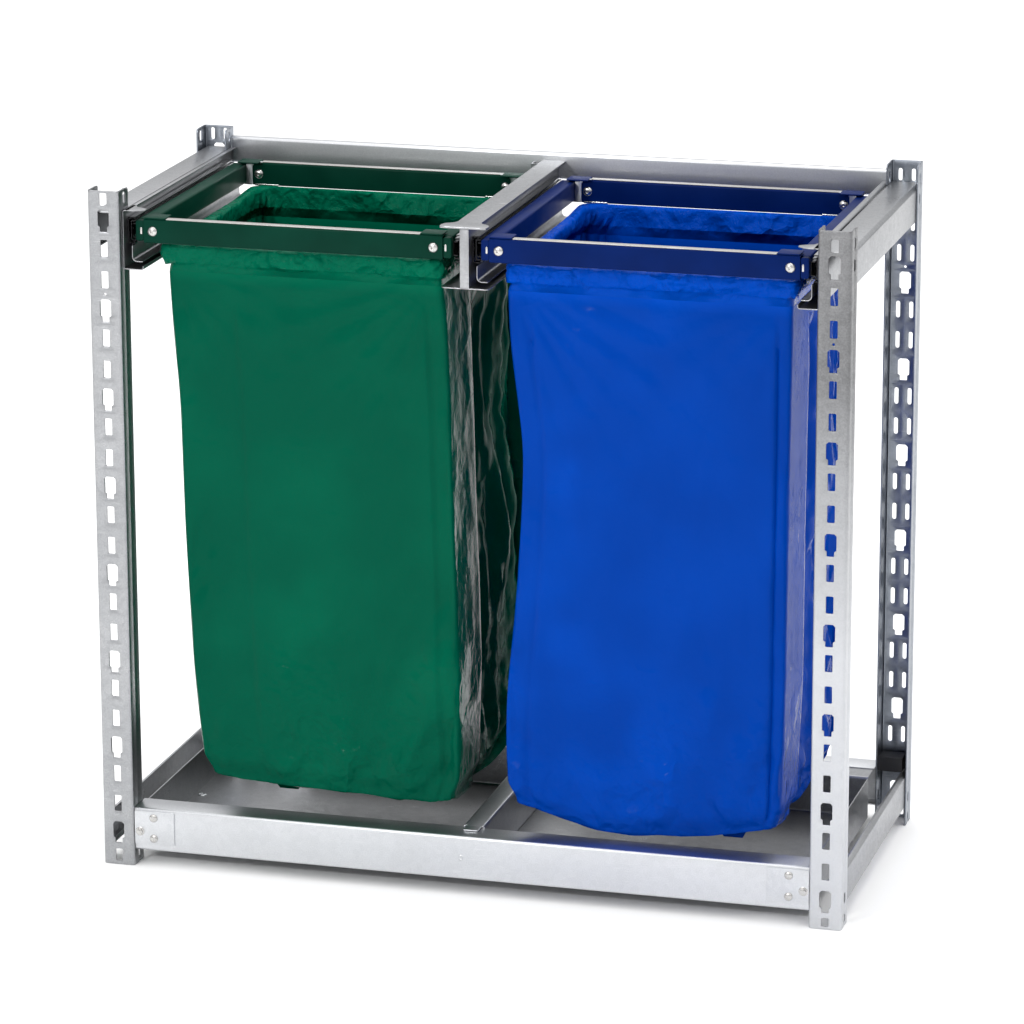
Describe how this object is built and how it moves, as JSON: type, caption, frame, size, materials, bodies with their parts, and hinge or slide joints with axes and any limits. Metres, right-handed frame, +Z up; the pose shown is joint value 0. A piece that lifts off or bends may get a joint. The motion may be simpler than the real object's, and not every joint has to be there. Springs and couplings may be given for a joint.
{
  "type": "recycling bin station",
  "caption": "Galvanised perforated-post frame with pull-out sack holders on telescopic slides, each carrying a coloured plastic sack for sorted waste.",
  "frame": {"origin": "middle of the footprint, on the floor", "axes": "+X to the right along the longest side, +Y from the front to the rear, +Z up"},
  "size_m": [1.014, 0.468, 0.926],
  "materials": {
    "galvanised": "hot-dip galvanised sheet, fine grey spangle",
    "slide_steel": "zinc-plated rolled steel",
    "bolt_zinc": "bright zinc plating",
    "green_paint": "satin powder coat, bottle green",
    "blue_paint": "satin powder coat, navy blue",
    "green_film": "glossy thin polyethylene film, green",
    "blue_film": "glossy thin polyethylene film, blue",
    "black_plastic": "matt black moulded plastic"
  },
  "bodies": {
    "frame": {"front_left_post": "galvanised", "front_right_post": "galvanised", "rear_left_post": "galvanised", "rear_right_post": "galvanised", "top_rear_beam": "galvanised", "bottom_front_beam": "galvanised", "bottom_rear_beam": "galvanised", "top_left_side_beam": "galvanised", "top_right_side_beam": "galvanised", "bottom_left_side_beam": "galvanised", "bottom_right_side_beam": "galvanised", "centre_divider": "galvanised", "divider_rear_bracket": "galvanised", "bottom_centre_joist": "galvanised", "left_floor_panel": "galvanised", "right_floor_panel": "galvanised", "left_slide_channel": "galvanised", "right_slide_channel": "galvanised", "front_left_base_bracket": "galvanised", "front_right_base_bracket": "galvanised", "rear_left_base_bracket": "galvanised", "rear_right_base_bracket": "galvanised", "rear_right_post_block": "black_plastic", "green_left_outer_rail": "slide_steel", "green_right_outer_rail": "slide_steel", "blue_left_outer_rail": "slide_steel", "blue_right_outer_rail": "slide_steel"},
    "green_middle_rails": {"green_left_middle_rail": "slide_steel", "green_right_middle_rail": "slide_steel"},
    "green_drawer": {"green_front_bar": "green_paint", "green_rear_bar": "green_paint", "green_left_side_bar": "green_paint", "green_right_side_bar": "green_paint", "green_front_left_corner": "green_paint", "green_front_right_corner": "green_paint", "green_rear_left_corner": "green_paint", "green_rear_right_corner": "green_paint", "green_front_left_bolt": "bolt_zinc", "green_front_right_bolt": "bolt_zinc", "green_left_inner_rail": "slide_steel", "green_right_inner_rail": "slide_steel", "green_sack_ring": "galvanised", "green_sack": "green_film"},
    "blue_middle_rails": {"blue_left_middle_rail": "slide_steel", "blue_right_middle_rail": "slide_steel"},
    "blue_drawer": {"blue_front_bar": "blue_paint", "blue_rear_bar": "blue_paint", "blue_left_side_bar": "blue_paint", "blue_right_side_bar": "blue_paint", "blue_front_left_corner": "blue_paint", "blue_front_right_corner": "blue_paint", "blue_rear_left_corner": "blue_paint", "blue_rear_right_corner": "blue_paint", "blue_front_left_bolt": "bolt_zinc", "blue_front_right_bolt": "bolt_zinc", "blue_left_inner_rail": "slide_steel", "blue_right_inner_rail": "slide_steel", "blue_sack_ring": "galvanised", "blue_sack": "blue_film"}
  },
  "joints": [
    {"name": "green_drawer_slide", "type": "slide", "parent": "frame", "child": "green_drawer", "axis": [0, -1, 0], "range_m": [0, 0.4]},
    {"name": "green_middle_rail_slide", "type": "slide", "parent": "frame", "child": "green_middle_rails", "axis": [0, -1, 0], "range_m": [0, 0.2]},
    {"name": "blue_drawer_slide", "type": "slide", "parent": "frame", "child": "blue_drawer", "axis": [0, -1, 0], "range_m": [0, 0.4]},
    {"name": "blue_middle_rail_slide", "type": "slide", "parent": "frame", "child": "blue_middle_rails", "axis": [0, -1, 0], "range_m": [0, 0.2]}
  ],
  "couplings": [
    {"joint": "green_middle_rail_slide", "follows": "green_drawer_slide", "ratio": 0.5},
    {"joint": "blue_middle_rail_slide", "follows": "blue_drawer_slide", "ratio": 0.5}
  ]
}
